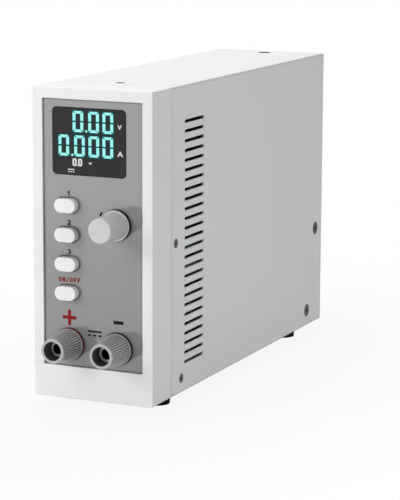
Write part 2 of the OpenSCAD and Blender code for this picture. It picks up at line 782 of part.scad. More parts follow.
// Turned metal knob, slightly tapered, with a thin foot flange
module knob() color([0.78, 0.78, 0.78]) {
  nut_room = nut_corner_r + 0.3;
  difference() {
    turned(knob_x, foot_h + knob_z, panel_y - knob_gap) polygon([
      [0, 0], [knob_flange_r - 0.2, 0], [knob_flange_r, 0.2], [knob_flange_r, knob_flange_t - 0.2],
      [knob_flange_r - 0.2, knob_flange_t], [knob_r, knob_flange_t], [knob_tip_r, knob_len - knob_bevel],
      [knob_tip_r - knob_bevel, knob_len], [0, knob_len]
    ]);
    rod(knob_x, foot_h + knob_z, panel_y - knob_gap - 2, panel_y, nut_room);
    rod(knob_x, foot_h + knob_z, panel_y - knob_gap - 5.5, panel_y, bush_r + 0.3);
    rod(knob_x, foot_h + knob_z, panel_y - knob_gap - knob_len + 3, panel_y, shaft_r);
  }
}

// Encoder shaft fixed in the knob
module encoder_shaft() color([0.7, 0.7, 0.72]) {
  rod(knob_x, foot_h + knob_z, panel_y - knob_gap - knob_len + 3, board_y - 3.6, shaft_r);
}

// Push plunger behind the encoder shaft
module encoder_plunger() color([0.75, 0.62, 0.3]) {
  rod(knob_x, foot_h + knob_z, board_y - 3.4, board_y - 2.2, 3);
  rod(knob_x, foot_h + knob_z, board_y - 2.3, board_y - 1.2, 1);
}

// Encoder housing with its threaded bush through the panel
module encoder_body() color([0.55, 0.56, 0.58]) {
  z = foot_h + knob_z;
  front = board_y - 6.2;
  difference() {
    union() {
      translate([knob_x, 0, z]) forward(board_y, board_y - front) square([12, 13], center = true);
      rod(knob_x, z, panel_y - 4.6, front, bush_r);
    }
    rod(knob_x, z, panel_y - 6, board_y, shaft_r + shaft_fit);
    rod(knob_x, z, board_y - 4.2, board_y + 1, 3.2);
  }
}

// Flat nut and washer that hold the encoder in the panel
module encoder_nut() color([0.72, 0.72, 0.74]) {
  z = foot_h + knob_z;
  difference() {
    union() {
      rod(knob_x, z, panel_y - 0.5, panel_y, nut_af / 2);
      translate([knob_x, panel_y - 0.5, z]) rotate([90, 0, 0])
        cylinder(r = nut_corner_r, h = 1.5, $fn = 6);
    }
    rod(knob_x, z, panel_y - 4, panel_y + 1, bush_r);
  }
}

// Black dust ring on the panel behind the knob, round the encoder nut
module knob_seal() color([0.05, 0.05, 0.05]) {
  z = foot_h + knob_z;
  difference() {
    rod(knob_x, z, panel_y - seal_t, panel_y, seal_r);
    rod(knob_x, z, panel_y - seal_t - 1, panel_y + 1, nut_corner_r + fit_gap);
  }
}

// Ribbed metal cap that screws on the post stud
module post_cap(x) color([0.68, 0.68, 0.68]) {
  z = foot_h + post_z;
  rim_t = 0.9;
  rib_end = cap_len - rim_t;
  foot_c = cap_foot_r - rib_foot_r;
  rim_c = cap_rim_r - rib_rim_r - 0.06;
  lean = atan((foot_c - rim_c) / (rib_end - rib_start));
  seat = cap_len - mouth_depth - 0.4;
  difference() {
    union() {
      turned(x, z, cap_y) polygon([
        [stud_bore_r - 0.5, 0], [cap_flange_r - 0.2, 0], [cap_flange_r, 0.2], [cap_flange_r, rib_start],
        [foot_c - rib_lift, rib_start], [rim_c - rib_lift, rib_end], [cap_rim_r, rib_end + 0.15],
        [cap_rim_r, cap_len - 0.25], [cap_rim_r - 0.25, cap_len], [mouth_r + 0.15, cap_len],
        [mouth_r, cap_len - 0.15], [mouth_r, seat], [stud_bore_r - 0.5, seat]
      ]);
      for (i = [0 : cap_ribs - 1])
        translate([x, cap_y, z]) rotate([90, 0, 0]) rotate([0, 0, i * 360 / cap_ribs])
          translate([foot_c, 0, rib_start - 0.1]) rotate([0, -lean, 0])
            cylinder(r1 = rib_foot_r, r2 = rib_rim_r, h = rib_end - rib_start + 0.3, $fn = 16);
    }
    rod(x, z, rim_y + mouth_depth, cap_y + 1, stud_bore_r);
    rod(x, z, cap_y - cap_flange_t, cap_y + 1, washer_r + 0.3);
  }
}

module post_cap_pos() post_cap(post_xs[0]);
module post_cap_neg() post_cap(post_xs[1]);

// Clamp washer that follows its cap
module post_washer(x) color([0.75, 0.75, 0.76]) {
  z = foot_h + post_z;
  difference() {
    rod(x, z, cap_y - washer_t, cap_y, washer_r);
    rod(x, z, cap_y - washer_t - 1, cap_y + 1, stud_bore_r);
  }
}

module post_washer_pos() post_washer(post_xs[0]);
module post_washer_neg() post_washer(post_xs[1]);

// Coloured insulating ring with a collar through the panel
module post_ring(x, tint) color(tint) {
  z = foot_h + post_z;
  difference() {
    union() {
      rod(x, z, ring_y, panel_y, ring_r);
      rod(x, z, ring_y, panel_back, insul_r);
    }
    rod(x, z, ring_y - 1, panel_back + 1, stud_bore_r);
  }
}

module post_ring_pos() post_ring(post_xs[0], [0.6, 0.1, 0.1]);
module post_ring_neg() post_ring(post_xs[1], [0.06, 0.06, 0.06]);

// Post stud with plug socket, wire hole and threaded tail
module post_stud(x) color([0.8, 0.78, 0.72]) {
  z = foot_h + post_z;
  hole_r = 1.1;
  difference() {
    union() {
      rod(x, z, stud_y, panel_back, stud_r);
      rod(x, z, panel_back - 1, panel_back + tail_len, tail_r);
    }
    rod(x, z, stud_y - 1, stud_y + socket_depth, socket_r);
    taper(x, z, stud_y, stud_y + socket_edge, socket_r + socket_edge, socket_r);
    translate([x, ring_y - 1.9, z]) cylinder(r = hole_r, h = 4 * stud_r, center = true);
    rod(x, z, panel_back + tail_len - 3, panel_back + tail_len + 1, lead_r * 0.6);
  }
}

module post_stud_pos() post_stud(post_xs[0]);
module post_stud_neg() post_stud(post_xs[1]);

// Insulating washers behind the panel
module post_insulators() color([0.12, 0.12, 0.12]) {
  for (x = post_xs) difference() {
    rod(x, foot_h + post_z, panel_back, panel_back + insul_t, ring_r);
    rod(x, foot_h + post_z, panel_back - 1, panel_back + insul_t + 1, tail_r + fit_gap);
  }
}

// Hexagon nuts on the stud tails
module post_nuts() color([0.72, 0.72, 0.74]) {
  for (x = post_xs) difference() {
    translate([x, panel_back + insul_t + nut_t, foot_h + post_z]) rotate([90, 0, 0])
      cylinder(r = 4 / cos(30), h = nut_t, $fn = 6);
    rod(x, foot_h + post_z, panel_back, panel_back + insul_t + nut_t + 1, tail_r);
  }
}

// Input lead from stud tail up and back to its terminal block
module input_lead(x, tint) color(tint) {
  z0 = foot_h + post_z;
  y0 = panel_back + tail_len;
  y1 = y0 + 0.5 + lead_bend;
  y2 = y1 + lead_bend;
  rod(x, z0, y0 - 3, y0 + 0.2, lead_r * 0.6);
  rod(x, z0, y0, y0 + 0.5, lead_r);
  bend(x, y0 + 0.5, z0 + lead_bend, lead_bend, lead_r, -90);
  translate([x, y1, z0 + lead_bend]) cylinder(r = lead_r, h = block_z - z0 - 2 * lead_bend);
  bend(x, y2, block_z - lead_bend, lead_bend, lead_r, 90);
  rod(x, block_z, y2, block_y, lead_r);
  rod(x, block_z, block_y - 0.2, block_y + 4, lead_r * 0.6);
}

module input_lead_pos() input_lead(post_xs[0], [0.6, 0.08, 0.08]);
module input_lead_neg() input_lead(post_xs[1], [0.07, 0.07, 0.07]);

// Terminal blocks for the input leads
module terminal_blocks() color([0.12, 0.35, 0.2]) {
  for (x = post_xs) difference() {
    translate([x - 4.5, block_y, main_top]) cube([9, 10, 10]);
    rod(x, block_z, block_y - 1, block_y + 4, lead_r * 0.6);
    translate([x, block_y + 5, main_top + 8]) cylinder(r = 2, h = 3);
  }
}

// Main board above the heat sink
module main_board() color([0.1, 0.3, 0.16]) {
  difference() {
    translate([-main_w / 2, main_y0, main_z]) cube([main_w, main_y1 - main_y0, board_t]);
    for (x = side_xs, y = concat(pillar_ys, front_pillar_y)) translate([x * pillar_x, y, main_z - 1])
      cylinder(r = 1.5, h = board_t + 2);
  }
}

// Pillars between heat sink and main board
module main_standoffs() color([0.78, 0.66, 0.35]) {
  for (x = side_xs, y = pillar_ys) translate([x * pillar_x, y, sink_top]) {
    cylinder(r = pillar_r, h = main_gap);
    cylinder(r = 1.5, h = main_gap + board_t);
  }
}

// Long pillars under the front of the main board
module front_pillars() color([0.78, 0.66, 0.35]) {
  for (x = side_xs) translate([x * pillar_x, front_pillar_y, base_top]) {
    cylinder(r = pillar_r, h = main_z - base_top);
    cylinder(r = 1.5, h = main_z - base_top + board_t);
  }
}

// Extruded heat sink standing on its fins
module heat_sink() color([0.7, 0.71, 0.72]) {
  step = (sink_w - fin_t) / (fin_count - 1);
  forward(sink_y1, sink_y1 - sink_y0) {
    translate([-sink_w / 2, base_top + fin_h]) square([sink_w, sink_t]);
    for (i = [0 : fin_count - 1])
      translate([-sink_w / 2 + i * step, base_top]) square([fin_t, fin_h + sink_t / 2]);
  }
}

// Flat power transistors on the heat sink, leads bent up into the board
module transistors() color([0.1, 0.1, 0.1]) {
  leg_w = 1.2;
  leg_t = 0.8;
  for (x = side_xs, y = chip_ys) translate([x * (chip_gap + chip_w) / 2, y, sink_top]) difference() {
    union() {
      translate([-chip_w / 2, -chip_len / 2, 0]) cube([chip_w, chip_len, chip_t]);
      for (leg = [-1, 0, 1])
        translate([leg * chip_w / 3 - leg_w / 2, -chip_len / 2 - leg_len, chip_t / 2]) {
          cube([leg_w, leg_len + 0.5, leg_t]);
          cube([leg_w, leg_t, main_gap - chip_t / 2]);
        }
    }
    translate([0, chip_len / 4, -1]) cylinder(r = 1.8, h = chip_t + 2);
  }
}

// Upright capacitors on the main board
module capacitors() color([0.14, 0.15, 0.2]) {
  for (x = can_xs) translate([x, sink_y0 - can_r - 4, main_top]) difference() {
    cylinder(r = can_r, h = can_h);
    translate([0, 0, can_h - 3]) difference() {
      cylinder(r = can_r + 1, h = 0.8);
      translate([0, 0, -1]) cylinder(r = can_r - 0.4, h = 3);
    }
  }
}

// Bent strip that measures the load current
module shunt() color([0.72, 0.5, 0.35]) {
  bend_r = 4;
  translate([0, sink_y0 + 10, main_top]) rotate([90, 0, 0]) linear_extrude(shunt_d) difference() {
    translate([0, shunt_h - bend_r - 4]) round_rect(shunt_w, 2 * bend_r + 8, bend_r);
    translate([0, shunt_h - bend_r - 4])
      round_rect(shunt_w - 2 * shunt_t, 2 * (bend_r + 4 - shunt_t), bend_r - shunt_t);
    translate([-shunt_w, -shunt_h]) square([2 * shunt_w, shunt_h]);
  }
}

// Small mains transformer of the control supply
module transformer() color([0.3, 0.28, 0.26]) {
  coil_w = core_w - 13;
  coil_d = core_d + 2 * coil_reach;
  translate([0, main_y1 - core_rear_in, main_top]) difference() {
    union() {
      translate([-core_w / 2, -core_d / 2, 0]) cube([core_w, core_d, core_h]);
      translate([-coil_w / 2, -coil_d / 2, 3]) cube([coil_w, coil_d, core_h - 6]);
    }
    for (s = side_xs) translate([s * core_w / 2, 0, core_h / 2])
      cylinder(r = 1, h = 2 * core_h, center = true);
  }
}

// Flat cable between display board and main board
module ribbon_cable() color([0.6, 0.62, 0.65]) {
  back = board_y + board_t + socket_t;
  y = plug_y + plug_d / 2;
  z = main_top + ribbon_lift;
  r = 6;
  half = ribbon_t / 2;
  translate([-ribbon_w / 2, 0, 0]) rotate([90, 0, 90]) linear_extrude(ribbon_w) {
    translate([back, z - half]) square([y - r - back + half, ribbon_t]);
    translate([y - half, main_top + plug_h]) square([ribbon_t, z - r - main_top - plug_h]);
    translate([y - r, z - r]) intersection() {
      difference() {
        circle(r + half);
        circle(r - half);
      }
      square(2 * r);
    }
  }
}

// Connectors of the flat cable
module ribbon_connectors() color([0.15, 0.15, 0.15]) {
  w = ribbon_w + 3;
  translate([-w / 2, board_y + board_t, main_top + ribbon_lift - socket_h / 2])
    cube([w, socket_t, socket_h]);
  translate([-w / 2, plug_y, main_top]) cube([w, plug_d, plug_h]);
}

// Square fan frame with duct, struts and bearing tube
module fan_frame() color([0.1, 0.1, 0.1]) {
  z = foot_h + fan_z;
  front = fan_y - fan_t;
  difference() {
    union() {
      difference() {
        translate([0, 0, z]) forward(fan_y, fan_t) round_rect(fan_size, fan_size, 3);
        rod(0, z, front - 1, fan_y + 1, fan_bore_r);
        translate([0, 0, z]) forward(fan_y - 4, fan_t - 8) difference() {
          square(fan_size + 2, center = true);
          circle(fan_bore_r + 1);
        }
      }
      rod(0, z, fan_y - 3, fan_y, hub_r);
      rod(0, z, front + 5, fan_y, 3.5);
      for (turn = [45 : 90 : 315]) translate([0, fan_y, z]) rotate([90, turn, 0])
        translate([hub_r - 1, -1.2, 0]) cube([fan_bore_r - hub_r + 2, 2.4, 3]);
    }
    rod(0, z, front, fan_y - 1, 1.5 + shaft_fit);
    for (x = side_xs, y = side_xs)
      rod(x * fan_pitch / 2, z + y * fan_pitch / 2, front - 1, fan_y + 1, 1.5 + fit_gap);
  }
}

// Fan hub, blades and shaft
module fan_rotor() color([0.13, 0.13, 0.13]) {
  z = foot_h + fan_z;
  front = fan_y - fan_t;
  blade_d = fan_t - 6;
  blade_chord = blade_d * 1.05;
  blade_t = 0.9;
  root_pitch = 34;
  tip_pitch = 52;
  tip_r = fan_bore_r - blade_gap;
  translate([0, fan_y - 3.5, z]) rotate([90, 0, 0]) {
    difference() {
      cylinder(r = hub_r, h = blade_d + 1.5);
      translate([0, 0, -1]) cylinder(r = hub_r - 1.5, h = blade_d - 0.5);
    }
    translate([0, 0, 1]) cylinder(r = 1.5, h = blade_d - 0.5);
    intersection() {
      difference() {
        cylinder(r = tip_r, h = blade_d);
        translate([0, 0, -1]) cylinder(r = hub_r - 0.4, h = fan_t);
      }
      for (i = [0 : blade_count - 1])
        rotate([0, 0, i * 360 / blade_count]) translate([0, 0, blade_d / 2]) hull() {
          translate([hub_r - 1, 0, 0]) rotate([root_pitch, 0, 0])
            cube([0.4, blade_t, blade_chord], center = true);
          translate([tip_r + 1, 0, 0]) rotate([tip_pitch, 0, 0])
            cube([0.4, blade_t, blade_chord * 1.15], center = true);
        }
    }
  }
}

// Welded wire guard over the fan opening
module fan_guard() color([0.8, 0.8, 0.82]) {
  z = foot_h + fan_z;
  corner = fan_pitch / sqrt(2);
  ring_y0 = rear_y + 2.4 * wire_r;
  for (r = [5.5, 10, 14.5, 18.6]) translate([0, ring_y0, z]) rotate([90, 0, 0])
    rotate_extrude() translate([r, 0]) circle(wire_r, $fn = 16);
  for (turn = [45 : 90 : 315]) translate([0, rear_y + wire_r, z]) rotate([0, turn, 0]) {
    translate([4.8, 0, 0]) rotate([0, 90, 0]) cylinder(r = wire_r, h = corner - 2.2 - 4.8, $fn = 16);
    translate([corner, 0, 0]) rotate([90, 0, 0])
      rotate_extrude() translate([1.6 + wire_r, 0]) circle(wire_r, $fn = 16);
  }
}

// Screws through guard, rear panel and fan
module fan_screws() color([0.75, 0.75, 0.77]) {
  head_y = rear_y + 2 * wire_r;
  for (x = side_xs, s = side_xs)
    translate([x * fan_pitch / 2, head_y, foot_h + fan_z + s * fan_pitch / 2]) {
      rotate([90, 0, 0]) cylinder(r = 1.5, h = 9);
      difference() {
        rotate([-90, 0, 0]) cylinder(r1 = 2.9, r2 = 2.3, h = 1.5);
        for (turn = [0, 90])
          translate([0, 1.5, 0]) rotate([0, turn, 0]) cube([3.2, 1.4, 0.7], center = true);
      }
    }
}

// Power switch bezel and body
module switch_body() color([0.1, 0.1, 0.1]) {
  z = foot_h + switch_z;
  inner_w = 2 * rocker_r + 0.8;
  difference() {
    union() {
      translate([0, 0, z]) forward(rear_y + 2, 2) round_rect(switch_w, switch_h, 1.2);
      translate([0, 0, z]) forward(rear_y + 0.5, 14.5) square([switch_w - 2, switch_h - 2], center = true);
      for (x = switch_tab_xs) translate([x - 2.4, switch_tab_y, z - 0.4])
        cube([4.8, tab_root_y - switch_tab_y, 0.8]);
    }
    translate([-inner_w / 2, rear_y - 11, z - switch_h / 2 + 2]) cube([inner_w, 20, switch_h - 4]);
    translate([0, rear_y - 0.5, z]) cylinder(r = 1.2 + shaft_fit, h = switch_h - 2.4, center = true);
  }
}

// Rocker that tips about an upright pivot
module switch_rocker() color([0.06, 0.06, 0.06]) {
  len = switch_h - 4 - 0.8;
  edge = rocker_r * 0.12;
  translate([0, rear_y - 0.5, foot_h + switch_z]) rotate([0, 0, rocker_tilt]) {
    linear_extrude(len, center = true) intersection() {
      circle(rocker_r);
      polygon([[-12, -7], [12, -7], [12, 3], [rocker_r, 2.6], [0, 2.6 - edge], [-rocker_r, 2.6], [-12, 3]]);
    }
    cylinder(r = 1.2, h = switch_h - 3, center = true);
  }
}

// Mains inlet shell with a deep socket
module inlet_housing() color([0.08, 0.08, 0.08]) {
  translate([0, 0, foot_h + inlet_z]) difference() {
    union() {
      forward(rear_y + 2, 2) round_rect(inlet_w, inlet_h, 2.5);
      forward(rear_y + inlet_reach, inlet_reach + 14) inlet_outline(1.6);
    }
    forward(rear_y + inlet_reach + 1, inlet_reach + 13) inlet_outline(0);
    for (p = pin_places) translate([p[0], 0, p[1]]) forward(rear_y - 1, 20) square([2, 4], center = true);
  }
}

// Contact blades of the inlet with rear tabs
module inlet_pins() color([0.82, 0.78, 0.6]) {
  translate([0, 0, foot_h + inlet_z]) for (p = pin_places) translate([p[0], 0, p[1]]) {
    forward(rear_y + inlet_reach - 6, 12 + inlet_reach) square([2, 4], center = true);
    forward(tab_root_y, tab_root_y - inlet_tab_y) square([0.8, 4], center = true);
  }
}

// Leads from inlet and switch down to the main board
module mains_leads() color([0.35, 0.2, 0.12]) {
  for (p = [pin_places[0], pin_places[2]]) mains_lead(p[0], inlet_tab_y, foot_h + inlet_z + p[1], 12, 8);
  for (x = switch_tab_xs) mains_lead(x, switch_tab_y, foot_h + switch_z, 11.5, 3.5);
}

// One lead that runs forward from a tab and bends down
module mains_lead(x, y, z, len, bend_r) {
  rod(x, z, y - len, y, mains_r);
  bend(x, y - len, z - bend_r, bend_r, mains_r, 90);
  translate([x, y - len - bend_r, main_top]) cylinder(r = mains_r, h = z - bend_r - main_top);
}

front_frame();
front_panel();
display_window();
cover();
base_plate();
rear_panel();
feet();
foot_screws();
cover_screws_small();
cover_screws_large();
rear_panel_screws();
display_board();
display_module();
board_standoffs();
board_screws();
button_1();
button_2();
button_3();
button_4();
push_switches();
knob();
encoder_shaft();
encoder_plunger();
encoder_body();
encoder_nut();
knob_seal();
post_cap_pos();
post_cap_neg();
post_washer_pos();
post_washer_neg();
post_ring_pos();
post_ring_neg();
post_stud_pos();
post_stud_neg();
post_insulators();
post_nuts();
input_lead_pos();
input_lead_neg();
terminal_blocks();
main_board();
main_standoffs();
front_pillars();
heat_sink();
transistors();
capacitors();
shunt();
transformer();
ribbon_cable();
ribbon_connectors();
fan_frame();
fan_rotor();
fan_guard();
fan_screws();
switch_body();
switch_rocker();
inlet_housing();
inlet_pins();
mains_leads();
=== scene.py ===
import bpy
import json
import math
from collections import namedtuple
from mathutils import Matrix, Vector


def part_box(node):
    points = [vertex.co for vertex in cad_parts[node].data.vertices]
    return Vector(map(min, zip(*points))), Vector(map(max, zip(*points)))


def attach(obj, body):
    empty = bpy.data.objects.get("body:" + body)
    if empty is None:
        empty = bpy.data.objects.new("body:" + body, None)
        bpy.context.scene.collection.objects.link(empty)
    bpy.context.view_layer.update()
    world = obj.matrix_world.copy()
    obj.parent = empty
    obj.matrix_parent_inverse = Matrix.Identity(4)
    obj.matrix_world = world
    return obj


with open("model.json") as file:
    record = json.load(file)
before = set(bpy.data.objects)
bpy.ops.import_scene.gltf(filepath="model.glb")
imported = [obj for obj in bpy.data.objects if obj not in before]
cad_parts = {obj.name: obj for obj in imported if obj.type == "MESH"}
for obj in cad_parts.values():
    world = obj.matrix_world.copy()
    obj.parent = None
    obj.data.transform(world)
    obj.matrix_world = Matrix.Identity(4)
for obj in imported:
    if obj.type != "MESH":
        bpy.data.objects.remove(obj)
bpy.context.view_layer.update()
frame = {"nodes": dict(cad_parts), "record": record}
NODES = frame["nodes"]
RECORD = frame["record"]
MM = 0.001
X, Y, Z = range(3)


def centre(node):
    lo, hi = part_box(node)
    return (lo + hi) / 2


# Planes and places taken from the frame
FRONT_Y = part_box("front_frame")[0].y
PANEL_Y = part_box("front_panel")[0].y
WINDOW_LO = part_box("display_window")[0]
COVER_LO, COVER_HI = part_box("cover")
CASE_Z = COVER_LO.z
CASE_MID = Vector((0.0, (FRONT_Y + COVER_HI.y) / 2, (COVER_LO.z + COVER_HI.z) / 2))
MOUNTS = {mount["name"]: mount for mount in RECORD["mounts"]}
JOINTS = {joint["name"]: joint for joint in RECORD["behaviour"]["joints"]}

# Mouth of a post cap, and the radii inside which the cap and its stud get painted shade
CAP_MOUTH_R = 3.95 * MM
CAP_SHADE_R = CAP_MOUTH_R + 0.05 * MM
STUD_SHADE_R = MOUNTS["socket_pos"]["dims"]["r_mm"] * MM + 0.3 * MM

# Camera fitted to the corners of the case: angles in degrees, focal length and picture height in pixels,
# and its place from the middle of the case
VIEW_AZIMUTH, VIEW_ELEVATION, VIEW_ROLL = 24.225, 10.554, 0.257
VIEW_FOCAL = 2108.587
VIEW_HEIGHT = 500
VIEW_ASIDE, VIEW_UP, VIEW_AWAY = 5.09 * MM, -16.825 * MM, 948.556 * MM

# Floor: half its side, the half-axes of the patch that shows the shadow, the part of these over which the
# patch fades to white, and the share of white in the patch
FLOOR_REACH = 6.0
SHADOW_PATCH = (0.10, 0.18)
SHADOW_FADE = (0.7, 1.6)
SHADOW_WHITE = 0.9

# Paint and plastic: size of clouds, size of rubbed patches on edges with the least share of wear in them,
# and change of roughness with the grain
COAT_CLOUD = 28 * MM
COAT_RUB, COAT_RUB_LEAST = 3 * MM, 0.2
COAT_RIPPLE = 0.03

# Turned metal: size of handling marks and of lathe rings, and width of the rim of the painted shade in a
# bore
TURNED_CLOUD = 5 * MM
TURNED_RING = 0.12 * MM
BORE_RIM = 0.06 * MM

# Rolled metal: size of clouds, and of the grain with its stretch
ROLLED_CLOUD = 8 * MM
ROLLED_GRAIN, ROLLED_STRETCH = 0.15 * MM, (1, 0.05, 1)

# Any metal: rounding of edges, depth of rings and grain, change of roughness with clouds and with fine
# lines, and the share of wear on edges
METAL_EDGE = 0.15 * MM
METAL_DEPTH = 0.003 * MM
METAL_SPREAD, METAL_RIPPLE = 0.06, 0.05
METAL_WEAR = 0.4

# Painted shade in narrow corners and grooves: how far it reaches, and the openness over which it fades
CREASE_REACH, CREASE_OPEN = 1.1 * MM, (0.5, 0.95)
GROOVE_REACH, GROOVE_OPEN = 0.5 * MM, (0.45, 0.9)

# Where painted shade goes by the way a face turns: its normal's Y part from front to side, its Z part from
# side to top, and the product of its X and Z parts from a flat face to a long bend
SIDE_LEAN = (-0.8, -0.3)
TOP_LEAN = (0.4, 0.8)
BEND_LEAN = (0.12, 0.4)
# Turn of a rounded normal from a flat face to an edge, and the usual range of a noise
EDGE_TURN = (0.02, 0.3)
NOISE_RANGE = (0.3, 0.7)

# Printed ink and lit segments: thickness, distance from what they lie on, and the rise from one stroke to
# the next, over a few layers, where strokes cross
INK_T = 0.01 * MM
INK_GAP = 0.02 * MM
INK_STEP = 0.003 * MM
INK_LAYERS = 4
# Straight pieces in a curved stroke, and the space between letters in strokes
ARC_STEPS = 20
LETTER_SPACE = 0.9
# Sign for direct current: number of its dashes, and the length of one as a share of the line
DASHES = 3
DASH_SHARE = 0.24

# Height of the point at the front that the front lamps shine on
LAMP_AIM_Z = 75 * MM


def srgb(*levels):
    """Linear colour from display levels of 0 to 255."""
    out = []
    for level in levels:
        c = level / 255
        out.append(((c + 0.055) / 1.055) ** 2.4 if c > 0.04045 else c / 12.92)
    return tuple(out)


def scaled(colour, factor):
    return tuple(min(1.0, c * factor) for c in colour)


class Shader:
    """A Principled material and short ways to add nodes to it."""

    def __init__(self, name):
        self.mat = bpy.data.materials.new(name)
        self.mat.use_nodes = True
        self.tree = self.mat.node_tree
        self.bsdf = self.tree.nodes["Principled BSDF"]
        coordinates = self.node("ShaderNodeTexCoord").outputs
        self.place = coordinates["Object"]
        self.lean = coordinates["Normal"]

    def node(self, kind, inputs=None, **settings):
        made = self.tree.nodes.new(kind)
        for key, value in settings.items():
            setattr(made, key, value)
        for key, value in (inputs or {}).items():
            self.feed(made.inputs[key], value)
        return made

    def feed(self, socket, value):
        """Links a socket to another, or gives it a value. A colour may leave out its alpha."""
        if isinstance(value, bpy.types.NodeSocket):
            self.tree.links.new(value, socket)
        elif socket.type == "RGBA" and len(value) == 3:
            socket.default_value = (*value, 1.0)
        else:
            socket.default_value = value

    def set(self, **values):
        for key, value in values.items():
            self.feed(self.bsdf.inputs[key.replace("_", " ")], value)

    def math(self, operation, a, b=0.0):
        return self.node("ShaderNodeMath", {0: a, 1: b}, operation=operation).outputs[0]

    def vector(self, operation, a, b=(0.0, 0.0, 0.0)):
        """Vector that an operation gives, or the number that a length or a dot product is."""
        made = self.node("ShaderNodeVectorMath", {0: a, 1: b}, operation=operation)
        return made.outputs["Value" if operation in ("LENGTH", "DOT_PRODUCT") else "Vector"]

    def parts(self, vector):
        return self.node("ShaderNodeSeparateXYZ", {0: vector}).outputs

    def span(self, value, start, end, low=0.0, high=1.0):
        """Maps a value between start and end to low and high."""
        inputs = {"Value": value, "From Min": start, "From Max": end, "To Min": low, "To Max": high}
        return self.node("ShaderNodeMapRange", inputs).outputs[0]

    def noise(self, size, detail=2.0, stretch=(1, 1, 1), place=None):
        """Noise with features of about that size in metres."""
        mapping = self.node("ShaderNodeMapping", {"Vector": place or self.place, "Scale": stretch})
        inputs = {"Vector": mapping.outputs[0], "Scale": 1.0 / size, "Detail": detail, "Roughness": 0.55}
        return self.node("ShaderNodeTexNoise", inputs).outputs["Fac"]

    def ramp(self, noise, low, high):
        """Spreads the usual range of a noise over low to high."""
        return self.span(noise, *NOISE_RANGE, low, high)

    def blend(self, fac, a, b):
        made = self.node("ShaderNodeMix", data_type="RGBA")
        for name, value in (("Factor", fac), ("A", a), ("B", b)):
            self.feed([s for s in made.inputs if s.name == name and s.enabled][0], value)
        return [s for s in made.outputs if s.enabled][0]

    def vary(self, noise, colour, low, high):
        """Colour that a noise takes from one shade to another."""
        return self.blend(self.ramp(noise, 0.0, 1.0), scaled(colour, low), scaled(colour, high))

    def uneven(self, rough, cloud, spread, fine, ripple):
        """Roughness that changes with broad clouds and with fine detail."""
        broad = self.ramp(cloud, rough - spread, rough + spread)
        return self.math("ADD", broad, self.ramp(fine, -ripple, ripple))

    def axis_radius(self, axis):
        """Distance from an axis along Y, and the place along it."""
        local = self.parts(self.vector("SUBTRACT", self.place, axis))
        flat = self.node("ShaderNodeCombineXYZ", {0: local[X], 1: local[Z]}).outputs[0]
        return self.vector("LENGTH", flat), local[Y]

    def facing(self, axis, start, end):
        """0 to 1 as that part of a face's normal goes from start to end."""
        return self.span(self.parts(self.lean)[axis], start, end)

    def bend(self):
        """1 where a face leans half way between side and top, as on a bend along the depth."""
        lean = self.parts(self.lean)
        both = self.math("MULTIPLY", lean[X], lean[Z])
        return self.span(self.math("ABSOLUTE", both), *BEND_LEAN)

    def edges(self, radius):
        """Rounded normals, and a mask that is 1 along sharp edges."""
        round_normal = self.node("ShaderNodeBevel", {"Radius": radius}, samples=6).outputs[0]
        true_normal = self.node("ShaderNodeNewGeometry").outputs["Normal"]
        turn = self.math("SUBTRACT", 1.0, self.vector("DOT_PRODUCT", round_normal, true_normal))
        return round_normal, self.span(turn, *EDGE_TURN)

    def corners(self, reach, opening, own=False):
        """Mask that is 1 in corners narrower than the reach, those of the piece itself or of any piece."""
        clear = self.node("ShaderNodeAmbientOcclusion", {"Distance": reach}, samples=8, only_local=own)
        return self.span(clear.outputs["AO"], *opening, 1.0, 0.0)

    def bump(self, height, depth, normal):
        inputs = {"Height": height, "Distance": depth, "Strength": 1.0, "Normal": normal}
        return self.node("ShaderNodeBump", inputs).outputs[0]


def finish_coat(name, colour, rough, grain=0.6, depth=0.012, tint=0.03, spread=0.06, edge=0.25, worn=1.12,
                wear=0.35, gloss=0.5, crease_shade=None, shade_fade=None, side=None, bend=None):
    """Painted or moulded surface: cloudy tint, uneven gloss, fine grain and worn edges.

    grain, depth and edge are lengths in mm. tint and spread say how far colour and roughness change, worn is
    the shade of rubbed edges and wear how much they show. crease is painted shade in narrow corners, side
    painted shade on faces that turn away from the front, bend painted shade along the long bends of a case,
    and fade two heights in mm with the shade of the colour at each, as painted light and shade by height.
    """
    s = Shader(name)
    cloud = s.noise(COAT_CLOUD, detail=3.0)
    fine = s.noise(grain * MM)
    normal, mask = s.edges(edge * MM)
    body = s.vary(cloud, colour, low=1 - tint, high=1 + tint)
    # Painted shade on faces that turn away from the front
    if side:
        body = s.blend(s.facing(Y, *SIDE_LEAN), body, side)
    # Painted shade along the long bends of the case
    if bend:
        body = s.blend(s.bend(), body, bend)
    # Painted light and shade: the colour is darker at the lower height than at the upper
    if shade_fade:
        low, high, low_shade, high_shade = shade_fade
        up = s.span(s.parts(s.place)[Z], low * MM, high * MM)
        body = s.vector("MULTIPLY", body, s.blend(up, (low_shade,) * 3, (high_shade,) * 3))
    patches = s.ramp(s.noise(COAT_RUB), wear * COAT_RUB_LEAST, wear)
    body = s.blend(s.math("MULTIPLY", mask, patches), body, scaled(colour, worn))
    # Painted shade in narrow corners
    if crease_shade:
        body = s.blend(s.corners(CREASE_REACH, CREASE_OPEN), body, crease_shade)
    s.set(Base_Color=body, Roughness=s.uneven(rough, cloud, spread, fine, COAT_RIPPLE))
    s.set(Normal=s.bump(fine, depth * MM, normal), Specular_IOR_Level=gloss)
    return s.mat


def metal(s, body, rough, metallic, gloss, cloud, lines, normal):
    """Sets what turned and rolled metal have in common."""
    s.set(Base_Color=body, Metallic=metallic, Specular_IOR_Level=gloss)
    s.set(Roughness=s.uneven(rough, cloud, METAL_SPREAD, lines, METAL_RIPPLE))
    s.set(Normal=s.bump(lines, METAL_DEPTH, normal))
    return s.mat


